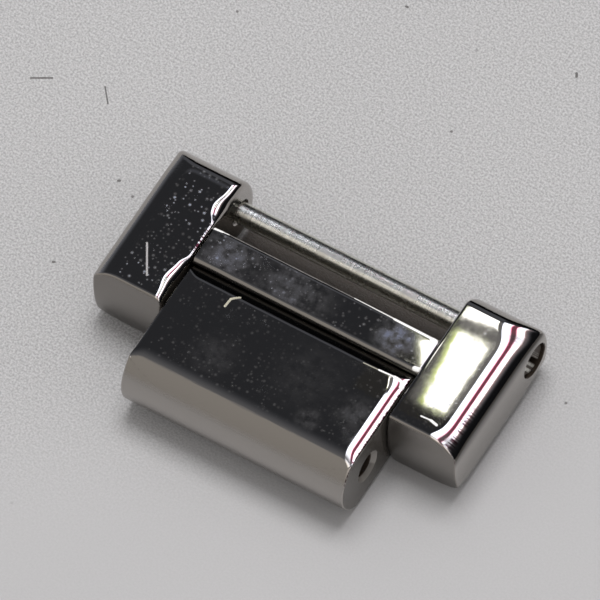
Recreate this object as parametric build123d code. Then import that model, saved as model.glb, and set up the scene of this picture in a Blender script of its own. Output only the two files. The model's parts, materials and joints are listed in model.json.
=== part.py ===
from build123d import *
import math
import os

# A steel watch bracelet link in millimetres.
# Two outer links are held together by a bridge bar, and a centre link swings between them on a pin.
# X runs across the bracelet, Y along it towards the link screw, and Z up from the skin side.
# The origin is on the skin side, under the middle of the whole link.

# Whole link
bracelet_width = 17.0
link_thickness = 3.6

# Places along the bracelet
bar_ahead_of_waist = 0.175
bore_ahead_of_pivot = 2.45

# Softly polished side edges: a wide roll off the top for this many degrees, then a crisper bend
roll_turn = 45
outer_side_roll = 1.4
outer_side_bend = 0.26
centre_side_roll = 1.0
centre_side_bend = 0.14

# Outer links
outer_width = 3.2
outer_rear_past_screw = 0.25
outer_rear_bulge = 0.85
outer_front_edge = 0.87
outer_front_bulge = 0.27
outer_inner_round = 0.36
outer_rear_round = 0.24
outer_front_round = 0.12

# Centre link
centre_side_gap = 0.1
centre_flat_past_axis = 0.75
centre_end_round = 0.12

# Bridge bar and its dowels
bar_width = 1.83
bar_waist = 0.92
bar_recess = 0.12
bar_flank_gap = 0.08
bar_round = 0.12
bar_round_land_share = 0.6
dowel_diameter = 0.6
dowel_height_from_middle = 0.85
dowel_seat_depth = 1.6
dowel_chamfer = 0.08

# Pivot pin
pivot_diameter = 1.0
pivot_running_gap = 0.03
pivot_seat_depth = 1.9
pivot_chamfer = 0.12

# Link screw and its holes
shaft_diameter = 0.95
shaft_gap = 0.03
shaft_seat_depth = 0.5
shaft_end_gap = 0.05
shaft_mouth_chamfer = 0.1
head_diameter = 1.48
head_length = 0.9
head_depth = 0.12
head_gap = 0.04
head_chamfer = 0.08
slot_width = 0.22
slot_depth = 0.3
slot_angle = 114
thread_diameter = 0.8
thread_length = 1.6
thread_pitch = 0.2
thread_depth = 0.07
thread_gap = 0.03
thread_end_gap = 0.15

# Bore in the front of the centre link for the next link's screw
next_screw_gap = 0.05
bore_countersink = 0.2

# Values worked out from the sizes above
cut_overrun = link_thickness
middle_z = link_thickness / 2
centre_end_radius = math.hypot(middle_z, centre_flat_past_axis)
flank_radius = centre_end_radius + bar_flank_gap
screw_behind_pivot = 2 * flank_radius + bar_waist
outer_rear_edge = screw_behind_pivot + outer_rear_past_screw
rear_reach = outer_rear_edge + outer_rear_bulge
front_reach = bore_ahead_of_pivot + centre_end_radius
pivot_y = (front_reach - rear_reach) / 2
screw_y = pivot_y + screw_behind_pivot
dowel_y = (pivot_y + screw_y) / 2
bar_y = dowel_y - bar_ahead_of_waist
bore_y = pivot_y - bore_ahead_of_pivot
outer_x = bracelet_width / 2
inner_x = outer_x - outer_width
head_top_x = outer_x - head_depth
head_seat_x = head_top_x - head_length
shaft_end_x = -inner_x - shaft_seat_depth + shaft_end_gap
screw_end_x = shaft_end_x - thread_length
shaft_hole_diameter = shaft_diameter + 2 * shaft_gap
front_bore_diameter = shaft_diameter + 2 * next_screw_gap


def rod(diameter, start_x, end_x, y, z):
    """A plain round bar along X."""
    length = end_x - start_x
    return Pos(start_x + length / 2, y, z) * Rot(0, 90, 0) * Cylinder(diameter / 2, length)


def turned(outline, y, z):
    """A turned piece along X, from its half outline of x and radius."""
    start_x = outline[0][0]
    end_x = outline[-1][0]
    face = make_face(Polyline((start_x, 0), *outline, (end_x, 0), (start_x, 0)))
    return Pos(0, y, z) * revolve(face, Axis.X, 360)


def chamfered_pin(diameter, chamfer_size, start_x, end_x, y, z):
    """A straight pin along X with a chamfer at each end."""
    radius = diameter / 2
    outline = [
        (start_x, radius - chamfer_size),
        (start_x + chamfer_size, radius),
        (end_x - chamfer_size, radius),
        (end_x, radius - chamfer_size),
    ]
    return turned(outline, y, z)


def mouth(diameter, size, side, face_x, y):
    """The cone that widens a hole by size at its mouth in a side face. Side is where the face looks."""
    cone = Cone(diameter / 2, diameter / 2 + size, size)
    return Pos(face_x - side * size / 2, y, middle_z) * Rot(0, side * 90, 0) * cone


def bulged_profile(front, front_bulge, rear, rear_bulge):
    """A side profile with a flat top and bottom and an arc at each end."""
    outline = [
        Line((front, 0), (rear, 0)),
        ThreePointArc((rear, 0), (rear + rear_bulge, middle_z), (rear, link_thickness)),
        Line((rear, link_thickness), (front, link_thickness)),
        ThreePointArc((front, link_thickness), (front - front_bulge, middle_z), (front, 0)),
    ]
    return make_face(Plane.YZ * Curve(outline))


def soft_edge(roll, bend):
    """Points of a softly polished edge from the flat out to the side face, as insets and drops."""
    turn = math.radians(roll_turn)
    quarter = math.pi / 2
    reach = roll * math.sin(turn) + bend * (1 - math.sin(turn))
    bend_start = (roll - bend) * (1 - math.cos(turn))
    points = []
    for angle in (0, turn / 2, turn):
        points.append((reach - roll * math.sin(angle), roll * (1 - math.cos(angle))))
    for angle in ((turn + quarter) / 2, quarter):
        points.append((bend * (1 - math.sin(angle)), bend_start + bend * (1 - math.cos(angle))))
    return points


def soft_half_section(start_x, side_x, roll, bend):
    """Half of a cross section on the right, from start_x to a side with soft edges."""
    upper = [(side_x - inset, link_thickness - drop) for inset, drop in soft_edge(roll, bend)]
    lower = [(x, link_thickness - z) for x, z in reversed(upper)]
    outline = [Line((start_x, link_thickness), upper[0])]
    for points in (upper, lower):
        outline += [ThreePointArc(*points[:3]), ThreePointArc(*points[2:])]
    outline.insert(3, Line(upper[-1], lower[0]))
    outline += [Line(lower[-1], (start_x, 0)), Line((start_x, 0), (start_x, link_thickness))]
    return make_face(Plane.XZ * Curve(outline))


def along_bracelet(section):
    """A cross section drawn out along the bracelet, well past both ends of the link."""
    return extrude(section, rear_reach + front_reach, both=True)


def round_end(solid, end, radius):
    """Rounds the rim of a solid's front or rear end face."""
    return fillet(solid.faces().sort_by(Axis.Y)[end].edges(), radius)


def outer_link_blank():
    """The right outer link before its holes, with soft edges on the outer side."""
    profile = bulged_profile(
        pivot_y - outer_front_edge,
        outer_front_bulge,
        pivot_y + outer_rear_edge,
        outer_rear_bulge,
    )
    section = soft_half_section(inner_x, outer_x, outer_side_roll, outer_side_bend)
    blank = Pos(inner_x, 0, 0) * extrude(profile, outer_width) & along_bracelet(section)
    long_edges = blank.edges().filter_by(Axis.Y).sort_by(Axis.X)
    blank = fillet(long_edges[:2], outer_inner_round)
    blank = round_end(blank, -1, outer_rear_round)
    return round_end(blank, 0, outer_front_round)


def inner_holes(side):
    """The blind holes in an outer link's inner side for the pivot pin and the dowels."""
    face_x = side * inner_x
    places = [(pivot_diameter, pivot_seat_depth, pivot_y, middle_z)]
    for step in (-1, 1):
        height = middle_z + step * dowel_height_from_middle
        places.append((dowel_diameter, dowel_seat_depth, dowel_y, height))
    holes = []
    for diameter, depth, y, z in places:
        ends = sorted((face_x - side * cut_overrun, face_x + side * depth))
        holes.append(rod(diameter, *ends, y, z))
    return holes


def right_outer_link():
    """The outer link that holds the screw's head in a counterbore."""
    link = outer_link_blank()
    head_hole = head_diameter + 2 * head_gap
    link -= rod(head_hole, head_seat_x, outer_x + cut_overrun, screw_y, middle_z)
    link -= rod(shaft_hole_diameter, inner_x - cut_overrun, outer_x, screw_y, middle_z)
    for hole in inner_holes(1):
        link -= hole
    return link


def left_outer_link():
    """The outer link that the screw's threaded end goes into."""
    link = mirror(outer_link_blank(), Plane.YZ)
    shaft_seat_x = -inner_x - shaft_seat_depth
    link -= rod(shaft_hole_diameter, shaft_seat_x, -inner_x + cut_overrun, screw_y, middle_z)
    link -= mouth(shaft_hole_diameter, shaft_mouth_chamfer, 1, -inner_x, screw_y)
    tapped_hole = thread_diameter + 2 * thread_gap
    link -= rod(tapped_hole, screw_end_x - thread_end_gap, -inner_x, screw_y, middle_z)
    for hole in inner_holes(-1):
        link -= hole
    return link


def bar_land(height):
    """The height of the narrowest flat strip left on a flank of the bar, above its hollow."""
    nearest = (screw_behind_pivot - bar_width) / 2 - bar_ahead_of_waist
    return height / 2 - math.sqrt(flank_radius**2 - nearest**2)


def bridge_bar():
    """The bar between the outer links, hollowed on both flanks to clear the round link ends."""
    height = link_thickness - 2 * bar_recess
    flank = Circle(flank_radius)
    section = Pos(bar_y, middle_z) * Rectangle(bar_width, height)
    section -= Pos(pivot_y, middle_z) * flank
    section -= Pos(screw_y, middle_z) * flank
    bar = Pos(-inner_x, 0, 0) * extrude(Plane.YZ * section, 2 * inner_x)
    edge_round = min(bar_round, bar_round_land_share * bar_land(height))
    for end in (-1, 0):
        bar = fillet(bar.faces().filter_by(Axis.Z).sort_by(Axis.Z)[end].edges(), edge_round)
    for dowel in bridge_dowels():
        bar -= rod(dowel_diameter, -outer_x, outer_x, dowel_y, dowel.center().Z)
    return bar


def bridge_dowels():
    """The two dowels that run through the bar and are pressed into both outer links."""
    end_x = inner_x + dowel_seat_depth
    dowels = []
    for step in (-1, 1):
        height = middle_z + step * dowel_height_from_middle
        dowels.append(chamfered_pin(dowel_diameter, dowel_chamfer, -end_x, end_x, dowel_y, height))
    return dowels


def centre_link():
    """The swinging link, whose ends are rounded about the pivot and the front bore."""
    half_width = inner_x - centre_side_gap
    front = bore_y - centre_flat_past_axis
    rear = pivot_y + centre_flat_past_axis
    bulge = centre_end_radius - centre_flat_past_axis
    profile = bulged_profile(front, bulge, rear, bulge)
    section = soft_half_section(0, half_width, centre_side_roll, centre_side_bend)
    section += mirror(section, Plane.YZ)
    link = Pos(-half_width, 0, 0) * extrude(profile, 2 * half_width) & along_bracelet(section)
    link = round_end(link, -1, centre_end_round)
    link = round_end(link, 0, centre_end_round)
    pivot_bore = pivot_diameter + 2 * pivot_running_gap
    link -= rod(pivot_bore, -outer_x, outer_x, pivot_y, middle_z)
    link -= rod(front_bore_diameter, -outer_x, outer_x, bore_y, middle_z)
    for side in (-1, 1):
        link -= mouth(front_bore_diameter, bore_countersink, side, side * half_width, bore_y)
    return link


def pivot_pin():
    """The hidden pin that the centre link swings on."""
    end_x = inner_x + pivot_seat_depth
    return chamfered_pin(pivot_diameter, pivot_chamfer, -end_x, end_x, pivot_y, middle_z)


def thread_outline():
    """The half outline of the screw's threaded end, from its tip to the shaft, as ridges and roots."""
    crest = thread_diameter / 2
    root = crest - thread_depth
    outline = [(screw_end_x, root)]
    for turn in range(int(thread_length / thread_pitch)):
        start = screw_end_x + turn * thread_pitch
        outline.append((start + thread_pitch / 2, crest))
        outline.append((start + thread_pitch, root))
    return outline


def link_screw():
    """The slotted screw that joins this link to the next one's centre link."""
    shaft = shaft_diameter / 2
    head = head_diameter / 2
    outline = thread_outline()
    outline += [
        (shaft_end_x, shaft),
        (head_seat_x, shaft),
        (head_seat_x, head),
        (head_top_x - head_chamfer, head),
        (head_top_x, head - head_chamfer),
    ]
    screw = turned(outline, screw_y, middle_z)
    slot = Rot(slot_angle, 0, 0) * Box(2 * slot_depth, head_diameter + head_gap, slot_width)
    return screw - Pos(head_top_x, screw_y, middle_z) * slot


pieces = {
    "left_outer_link": left_outer_link(),
    "right_outer_link": right_outer_link(),
    "bridge_bar": bridge_bar(),
    "bridge_dowels": Compound(bridge_dowels()),
    "centre_link": centre_link(),
    "pivot_pin": pivot_pin(),
    "link_screw": link_screw(),
}

os.makedirs("parts", exist_ok=True)
for name, piece in pieces.items():
    export_step(piece, f"parts/{name}.step")
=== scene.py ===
"""A polished steel watch bracelet link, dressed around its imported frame.

Sizes inside the shape functions are in millimetres, and meshes are written in metres.
X runs across the bracelet, Y along it towards the link screw, and Z up from the skin side.
"""

import functools
import json
import math

import bmesh
import bpy
import numpy as np
from mathutils import Matrix, Vector


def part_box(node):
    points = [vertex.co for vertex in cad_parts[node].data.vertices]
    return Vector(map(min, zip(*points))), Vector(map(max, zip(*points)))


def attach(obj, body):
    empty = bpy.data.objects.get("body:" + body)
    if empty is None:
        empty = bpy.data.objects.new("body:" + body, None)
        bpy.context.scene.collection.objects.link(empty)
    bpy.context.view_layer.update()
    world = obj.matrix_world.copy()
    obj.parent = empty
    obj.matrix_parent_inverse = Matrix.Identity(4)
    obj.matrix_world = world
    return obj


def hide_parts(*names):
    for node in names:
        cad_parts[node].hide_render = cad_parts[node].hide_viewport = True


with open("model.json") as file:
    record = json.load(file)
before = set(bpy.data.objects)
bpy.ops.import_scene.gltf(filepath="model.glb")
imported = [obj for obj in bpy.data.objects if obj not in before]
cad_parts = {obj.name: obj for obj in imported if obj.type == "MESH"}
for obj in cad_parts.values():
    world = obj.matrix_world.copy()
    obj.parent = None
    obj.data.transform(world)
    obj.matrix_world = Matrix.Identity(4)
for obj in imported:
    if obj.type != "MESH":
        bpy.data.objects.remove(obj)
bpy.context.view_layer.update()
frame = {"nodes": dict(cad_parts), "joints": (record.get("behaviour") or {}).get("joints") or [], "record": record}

bl_info = {
    "name": "Watch Bracelet Link",
    "version": (1, 0, 0),
    "blender": (4, 5, 0),
    "location": "3D View > Sidebar > Bracelet Link",
    "description": "Builds a polished steel bracelet link, its finishes and a small studio",
    "category": "Add Mesh",
}

MM = 0.001
OUTER_FRAME = "outer_frame"


def node_box(name):
    """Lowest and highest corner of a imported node, in millimetres."""
    low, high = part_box(name)
    return np.array(low) / MM, np.array(high) / MM


def named_place(rows, name):
    """The place in millimetres of a mount or joint, found by its name among the record's rows."""
    for row in rows:
        if row["name"] == name:
            return np.array(row["pos_m"]) / MM
    raise RuntimeError("the packed record doesn't place " + name)


OUTER_LOW, OUTER_HIGH = node_box("right_outer_link")
CENTRE_LOW, CENTRE_HIGH = node_box("centre_link")
BAR_LOW, BAR_HIGH = node_box("bridge_bar")
SCREW_LOW, SCREW_HIGH = node_box("link_screw")
THICKNESS = float(OUTER_HIGH[2] - OUTER_LOW[2])
MIDDLE_Z = THICKNESS / 2
SCREW_Y = float(named_place(frame["record"]["mounts"], "rear_screw_shaft")[1])
BORE_Y = float(named_place(frame["record"]["mounts"], "front_bore")[1])
PIVOT_Y = float(named_place(frame["joints"], "centre_link_pivot")[1])
END_RADIUS = BORE_Y - float(CENTRE_LOW[1])
HALF_PI = math.pi / 2
CAMERA_DISTANCE = 0.8
CAMERA_AZIMUTH = math.radians(36.958)
CAMERA_ELEVATION = math.radians(60.446)
CAMERA_ROLL = math.radians(-6.379)
VIEW_DIRECTION = Vector(
    (
        math.sin(CAMERA_AZIMUTH) * math.cos(CAMERA_ELEVATION),
        -math.cos(CAMERA_AZIMUTH) * math.cos(CAMERA_ELEVATION),
        math.sin(CAMERA_ELEVATION),
    )
)


# Sizes and colours a user would change


def size_property(name, text, value):
    return bpy.props.FloatProperty(
        name=name, description=text, default=value * MM, min=0.0, precision=5, subtype="DISTANCE", unit="LENGTH"
    )


def angle_property(name, text, degrees):
    return bpy.props.FloatProperty(
        name=name, description=text, default=math.radians(degrees), subtype="ANGLE", unit="ROTATION"
    )


def share_property(name, text, value):
    return bpy.props.FloatProperty(name=name, description=text, default=value, min=0.0, max=1.0, subtype="FACTOR")


def colour_property(name, text, value):
    return bpy.props.FloatVectorProperty(
        name=name, description=text, default=value, size=3, min=0.0, max=1.0, subtype="COLOR"
    )


def level_property(name, text, value):
    return bpy.props.FloatProperty(name=name, description=text, default=value, min=0.0)


def in_mm(group, *names):
    """Sizes of a settings group in millimetres, in the order of their names."""
    return [getattr(group, name) / MM for name in names]


class LinkShapeSettings(bpy.types.PropertyGroup):
    """Sizes of the polished pieces"""

    roll_turn: angle_property("Roll turn", "How far a soft edge turns before its crisper bend", 45)
    outer_roll: size_property("Outer roll", "Radius of the soft edge on an outer link", 1.4)
    outer_bend: size_property("Outer bend", "Radius of the bend into an outer link's side", 0.26)
    inner_round: size_property("Inner rounding", "Rounding of an outer link's inner edge", 0.36)
    joined_round: size_property("Joined rounding", "What is left of that rounding beside the bar", 0.14)
    centre_turn: angle_property("Centre roll turn", "How far the centre link's soft edge turns before its bend", 29)
    centre_roll: size_property("Centre roll", "Radius of the soft edge on the centre link", 1.2)
    centre_bend: size_property("Centre bend", "Radius of the bend into the centre link's side", 0.1)
    rear_bulge: size_property("Rear bulge", "How far an outer link's rear end bulges", 0.85)
    front_bulge: size_property("Front bulge", "How far an outer link's front end bulges", 0.27)
    bar_round: size_property("Bar rounding", "Rounding of the bar's long edges", 0.26)


class ScrewSettings(bpy.types.PropertyGroup):
    """Sizes of the link screw and its holes"""

    shaft: size_property("Shaft diameter", "Diameter of the bare shaft", 0.95)
    head: size_property("Head diameter", "Diameter of the slotted head", 1.48)
    head_length: size_property("Head length", "Length of the head", 0.9)
    head_depth: size_property("Head depth", "How far the head lies below the link's side", 0.12)
    slot_width: size_property("Slot width", "Width of the slot", 0.22)
    slot_depth: size_property("Slot depth", "Depth of the slot", 0.3)
    slot_angle: angle_property("Slot angle", "How the slot lies, turned up from the bracelet's length", 114)
    thread: size_property("Thread diameter", "Diameter over the thread", 0.8)
    thread_length: size_property("Thread length", "Length of the threaded end", 1.6)
    pitch: size_property("Thread pitch", "Distance from one ridge to the next", 0.2)
    thread_depth: size_property("Thread depth", "Depth of the thread", 0.07)
    shaft_gap: size_property("Shaft gap", "Clearance round the shaft in the outer links", 0.03)
    head_gap: size_property("Head gap", "Clearance round the head", 0.04)
    bore_gap: size_property("Bore gap", "Clearance round the next link's shaft in the front bore", 0.05)
    countersink: size_property("Countersink", "Depth of the front bore's countersink", 0.2)


class FinishSettings(bpy.types.PropertyGroup):
    """Colours and wear of the steel"""

    steel: colour_property("Steel", "Colour of the mirror-polished steel", (0.47, 0.445, 0.42))
    turned: colour_property("Turned steel", "Colour of the turned screw and pins", (0.84, 0.84, 0.77))
    dust: colour_property("Dust", "Colour of the fine dust on the polish", (0.31, 0.38, 0.56))
    haze: colour_property("Haze", "Colour of the bluish smudges on the polish", (0.16, 0.28, 0.70))
    # painted shade inside the holes and on the screw's head deep in its hole
    hole_shade: colour_property("Grime", "Colour of what has settled in the holes", (0.06, 0.045, 0.035))
    polish: share_property("Polish roughness", "Roughness of the clean polish", 0.035)
    turned_roughness: share_property("Turned roughness", "Roughness of turned steel", 0.25)


class StudioSettings(bpy.types.PropertyGroup):
    """Floor, lamps and surroundings"""

    floor: colour_property("Floor", "Colour of the floor", (0.470, 0.462, 0.468))
    window_level: level_property("Window level", "Brightness of the window panes", 4.0)
    window_light: level_property("Window light", "Brightness of the lamp that lights the table", 9.5)
    ambient: level_property("Ambient", "Brightness of the light from all sides on what is not polished", 0.56)


# Shader maths as expressions


class Shade:
    """A socket that adds Math nodes when it is used in an expression."""

    def __init__(self, tree, socket):
        self.tree = tree
        self.socket = socket

    def other(self, output):
        """Another output of the same node."""
        return Shade(self.tree, self.socket.node.outputs[output])

    def maths(self, operation, *values):
        return shader_node(self.tree, "ShaderNodeMath", dict(enumerate(values)), operation=operation)

    def __add__(self, other):
        return self.maths("ADD", self, other)

    __radd__ = __add__

    def __sub__(self, other):
        return self.maths("SUBTRACT", self, other)

    def __rsub__(self, other):
        return self.maths("SUBTRACT", other, self)

    def __mul__(self, other):
        return self.maths("MULTIPLY", self, other)

    __rmul__ = __mul__

    def both(self, other):
        return self.maths("MINIMUM", self, other)

    def either(self, other):
        return self.maths("MAXIMUM", self, other)

    def size(self):
        return self.maths("ABSOLUTE", self)

    def root(self):
        return self.maths("SQRT", self)

    def rise(self, low, high, start=0.0, end=1.0):
        """Goes smoothly from start at low to end at high."""
        values = {"Value": self, "From Min": low, "From Max": high, "To Min": start, "To Max": end}
        return shader_node(self.tree, "ShaderNodeMapRange", values, interpolation_type="SMOOTHSTEP")

    def fall(self, low, high):
        """Goes smoothly from 1 at low to 0 at high."""
        return self.rise(low, high, 1.0, 0.0)

    def band(self, low, risen, high, fallen):
        """Goes smoothly from 0 to 1 between low and risen, and back between high and fallen."""
        return self.rise(low, risen) * self.fall(high, fallen)


def shader_node(tree, kind, values, output=0, **settings):
    """Adds a node with its settings first, then the values or links of its sockets."""
    node = tree.nodes.new(kind)
    for name, value in settings.items():
        setattr(node, name, value)
    for key, value in values.items():
        if isinstance(value, Shade):
            tree.links.new(value.socket, node.inputs[key])
        else:
            node.inputs[key].default_value = value
    return Shade(tree, node.outputs[output]) if len(node.outputs) else None


def most(shades):
    """The largest of several shades at each point."""
    return functools.reduce(Shade.either, shades)


def flat_length(first, second):
    """The length of a flat vector from its two parts."""
    return (first * first + second * second).root()


def blend_colour(tree, factor, first, second):
    """Mixes two colours, each a tuple or a Shade."""

    def full(colour):
        return colour if isinstance(colour, Shade) else (*colour, 1.0)

    values = {"Factor": factor, 6: full(first), 7: full(second)}
    return shader_node(tree, "ShaderNodeMix", values, 2, data_type="RGBA")


def new_tree(name):
    """A new material with an empty node tree."""
    material = bpy.data.materials.new(name)
    material.use_nodes = True
    material.node_tree.nodes.clear()
    return material, material.node_tree


def separated(tree, vector):
    """The three parts of a vector."""
    parts = shader_node(tree, "ShaderNodeSeparateXYZ", {0: vector})
    return [parts.other(axis) for axis in range(3)]


def stretched(tree, place, shares):
    """A vector scaled by a share along each axis."""
    return shader_node(tree, "ShaderNodeVectorMath", {0: place, 1: shares}, operation="MULTIPLY")


def object_places(tree):
    """Object coordinates in millimetres, as a vector and its three parts."""
    place = stretched(tree, shader_node(tree, "ShaderNodeTexCoord", {}, "Object"), (1 / MM,) * 3)
    return place, separated(tree, place)


def noise(tree, place, scale, detail=2.0, roughness=0.5):
    """Soft noise, with its scale in cells a millimetre."""
    values = {"Vector": place, "Scale": scale, "Detail": detail, "Roughness": roughness}
    return shader_node(tree, "ShaderNodeTexNoise", values, "Fac")


def specks(tree, place, scale):
    """Distances to scattered specks seen from above, and two random shares that tell them apart."""
    values = {"Vector": place, "Scale": scale, "Randomness": 1.0}
    distance = shader_node(tree, "ShaderNodeTexVoronoi", values, "Distance", voronoi_dimensions="2D")
    share = shader_node(tree, "ShaderNodeSeparateColor", {0: distance.other("Color")})
    return distance, share, share.other(1)


def line_mark(x, y, start, end, width):
    """A mask that is 1 within width of the straight line from start to end, seen from above."""
    run = (end[0] - start[0], end[1] - start[1])
    share = 1 / (run[0] ** 2 + run[1] ** 2)
    along = ((x - start[0]) * run[0] + (y - start[1]) * run[1]) * share
    along = along.both(1.0).either(0.0)
    distance = flat_length(x - start[0] - along * run[0], y - start[1] - along * run[1])
    return distance.fall(width * 0.6, width)


# Finishes, with painted highlights and painted shade

# painted highlights
PAINTED_HIGHLIGHT = (1.0, 0.98, 0.97)
FIBRE = (0.5, 0.47, 0.36)
SCRATCH = (0.42, 0.40, 0.40)
# painted shade on the steel's front and side faces
SHADED_STEEL = (0.10, 0.09, 0.08)
CUT_STEEL = (0.30, 0.28, 0.26)
STAIN = (0.42, 0.36, 0.30)
# painted dark dashes in the reflections along soft edges
DARK_RED = (0.05, 0.012, 0.02)
NEAR_BLACK = (0.05, 0.045, 0.04)
# painted shade on the table in the recess
RECESS_SHADE = (0.045, 0.036, 0.028)

RIPPLE_DEPTH = 0.0012
STREAK_DEPTH = 0.0035
RING_DEPTH = 0.009
GRAIN_DEPTH = 0.05

# The painted dark dashes in edge reflections are told by the slopes to the side and the Y that they lie between,
# and the dashes in a millimetre
END_TO_END = (-9.0, -8.0, 8.0, 9.0)
PAINTED_DASHES = ((0.4, 0.5, 0.6, 0.7), END_TO_END, 22.0)

# Where the painted shade on the screw's head starts, and the bars across its slot where it is left off, so that
# they show as light stripes
HEAD_SHADE_START = (6.9, 7.0)
BRIGHT_BAR = (0.37, 0.41, 0.50, 0.54)
TAN_BAR = (0.14, 0.17, 0.25, 0.28)
THIN_BARS = (-0.50, -0.45, -0.1, 0.0)

SHAFT_HOLE = (SCREW_Y, 0.56, 0.56)
# marks in the highlight colour are painted highlights; the front, flank and side shares paint shade; the dashes are
# painted reflections
LOOKS = {
    "left_outer_link": {
        "painted_front_shade": 0.52,
        "dust_share": 1.0,
        "marks": (((-7.2, 0.27), (-6.43, -0.99), 0.05, SCRATCH, 0.8),),
        "outline": (-7.75, -5.2, -2.4, 4.05, 0.6),
        "painted_dashes": ((0.02, 0.08, 0.70, 0.80), (0.75, 0.95, 2.15, 2.35), 11.0),
        "holes": ((*SHAFT_HOLE, -8.2, -5.0),),
    },
    "right_outer_link": {
        "painted_front_shade": 0.52,
        "dust_share": 0.3,
        "film_share": 0.35,
        "painted_side_shade": 0.9,
        "marks": (
            ((6.45, -1.07), (6.95, -1.04), 0.04, PAINTED_HIGHLIGHT, 0.8),
            ((6.90, -1.05), (7.20, -1.12), 0.07, PAINTED_HIGHLIGHT, 0.8),
        ),
        "painted_dashes": ((0.38, 0.44, 0.56, 0.62), (-2.5, -2.4, -0.6, 1.2), 30.0),
        "holes": ((SCREW_Y, 0.82, 0.82, 7.0, 9.0), (*SHAFT_HOLE, 5.0, 7.0)),
    },
    "centre_link": {
        "painted_front_shade": 0.12,
        "painted_flank_shade": 1.0,
        "dust_share": 0.13,
        "marks": (
            ((-2.97, -0.66), (-2.93, -0.26), 0.06, FIBRE, 0.9),
            ((-2.93, -0.26), (-2.66, -0.01), 0.06, FIBRE, 0.9),
            ((3.2, -0.13), (3.9, -0.10), 0.03, FIBRE, 0.7),
            ((3.9, -0.10), (4.6, -0.06), 0.05, PAINTED_HIGHLIGHT, 1.0),
            ((4.6, -0.06), (4.95, -0.08), 0.09, PAINTED_HIGHLIGHT, 1.0),
            ((5.0, -0.12), (5.06, -0.30), 0.12, PAINTED_HIGHLIGHT, 1.0),
        ),
        "smudges": (
            (-2.15, -2.77, 1.4, 0.05),
            (2.59, -3.4, 0.7, 0.14),
            (4.1, -2.3, 1.1, 0.11),
            (1.6, -1.8, 2.2, 0.03),
        ),
        "painted_dashes": ((0.42, 0.47, 0.80, 0.90), END_TO_END, 22.0),
        "holes": ((BORE_Y, 0.56, 0.74, -6.0, 6.0), (PIVOT_Y, 0.56, 0.56, -6.0, 6.0)),
    },
    "bridge_bar": {
        "dust_share": 0.55,
        "marks": (
            ((1.3, 2.30), (3.3, 2.26), 0.04, PAINTED_HIGHLIGHT, 0.9),
            ((3.2, 2.26), (5.1, 2.22), 0.085, PAINTED_HIGHLIGHT, 1.0),
            ((5.02, 2.19), (5.12, 2.17), 0.16, PAINTED_HIGHLIGHT, 1.0),
            ((5.05, 0.72), (5.25, 0.76), 0.12, PAINTED_HIGHLIGHT, 1.0),
            ((-5.25, 2.24), (-4.9, 2.27), 0.07, PAINTED_HIGHLIGHT, 1.0),
            ((-4.9, 2.27), (-4.6, 2.30), 0.04, PAINTED_HIGHLIGHT, 1.0),
        ),
        "smudges": ((3.7, 1.5, 1.2, 0.5), (-4.0, 1.4, 1.8, 0.24), (-1.0, 1.2, 2.4, 0.16)),
    },
}


def add_surface(material, tree, values, bumps):
    """Ends a material with its shader. Bumps are pairs of a height and its depth in millimetres."""
    normal = None
    for height, depth in bumps:
        inputs = {"Height": height, "Distance": depth * MM, "Strength": 1.0}
        if normal is not None:
            inputs["Normal"] = normal
        normal = shader_node(tree, "ShaderNodeBump", inputs)
    shader = shader_node(tree, "ShaderNodeBsdfPrincipled", {**values, "Normal": normal})
    shader_node(tree, "ShaderNodeOutputMaterial", {"Surface": shader})
    return material


def dust_cover(tree, place):
    """Small round specks of differing brightness, thicker in some patches than in others."""
    sizes = []
    for scale, radius, few in ((2.6, 0.25, 0.35), (4.6, 0.27, 0.50)):
        distance, pick, bright = specks(tree, place, scale)
        sizes.append(distance.fall(0.0, radius) * pick.rise(few, few + 0.05) * bright)
    return most(sizes) * noise(tree, place, 0.45, 3.0).rise(0.38, 0.62, 0.25, 1.0)


def smudge_cover(tree, place, x, y, smudges):
    """Clouded patches, each (x, y, radius, strength)."""
    cloud = noise(tree, place, 2.2, 4.0, 0.6).rise(0.28, 0.72)
    patches = [
        flat_length(x - at_x, y - at_y).rise(0.0, radius, strength, 0.0)
        for at_x, at_y, radius, strength in smudges
    ]
    return most(patches) * cloud


def outline_cover(x, y, outline):
    """A soft line along a rounded rectangle of (low x, high x, low y, high y, corner radius)."""
    low_x, high_x, low_y, high_y, corner = outline
    beyond = [
        ((part - (low + high) / 2).size() - ((high - low) / 2 - corner)).either(0.0)
        for part, low, high in ((x, low_x, high_x), (y, low_y, high_y))
    ]
    return (flat_length(*beyond) - corner).size().fall(0.0, 0.14)


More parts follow.
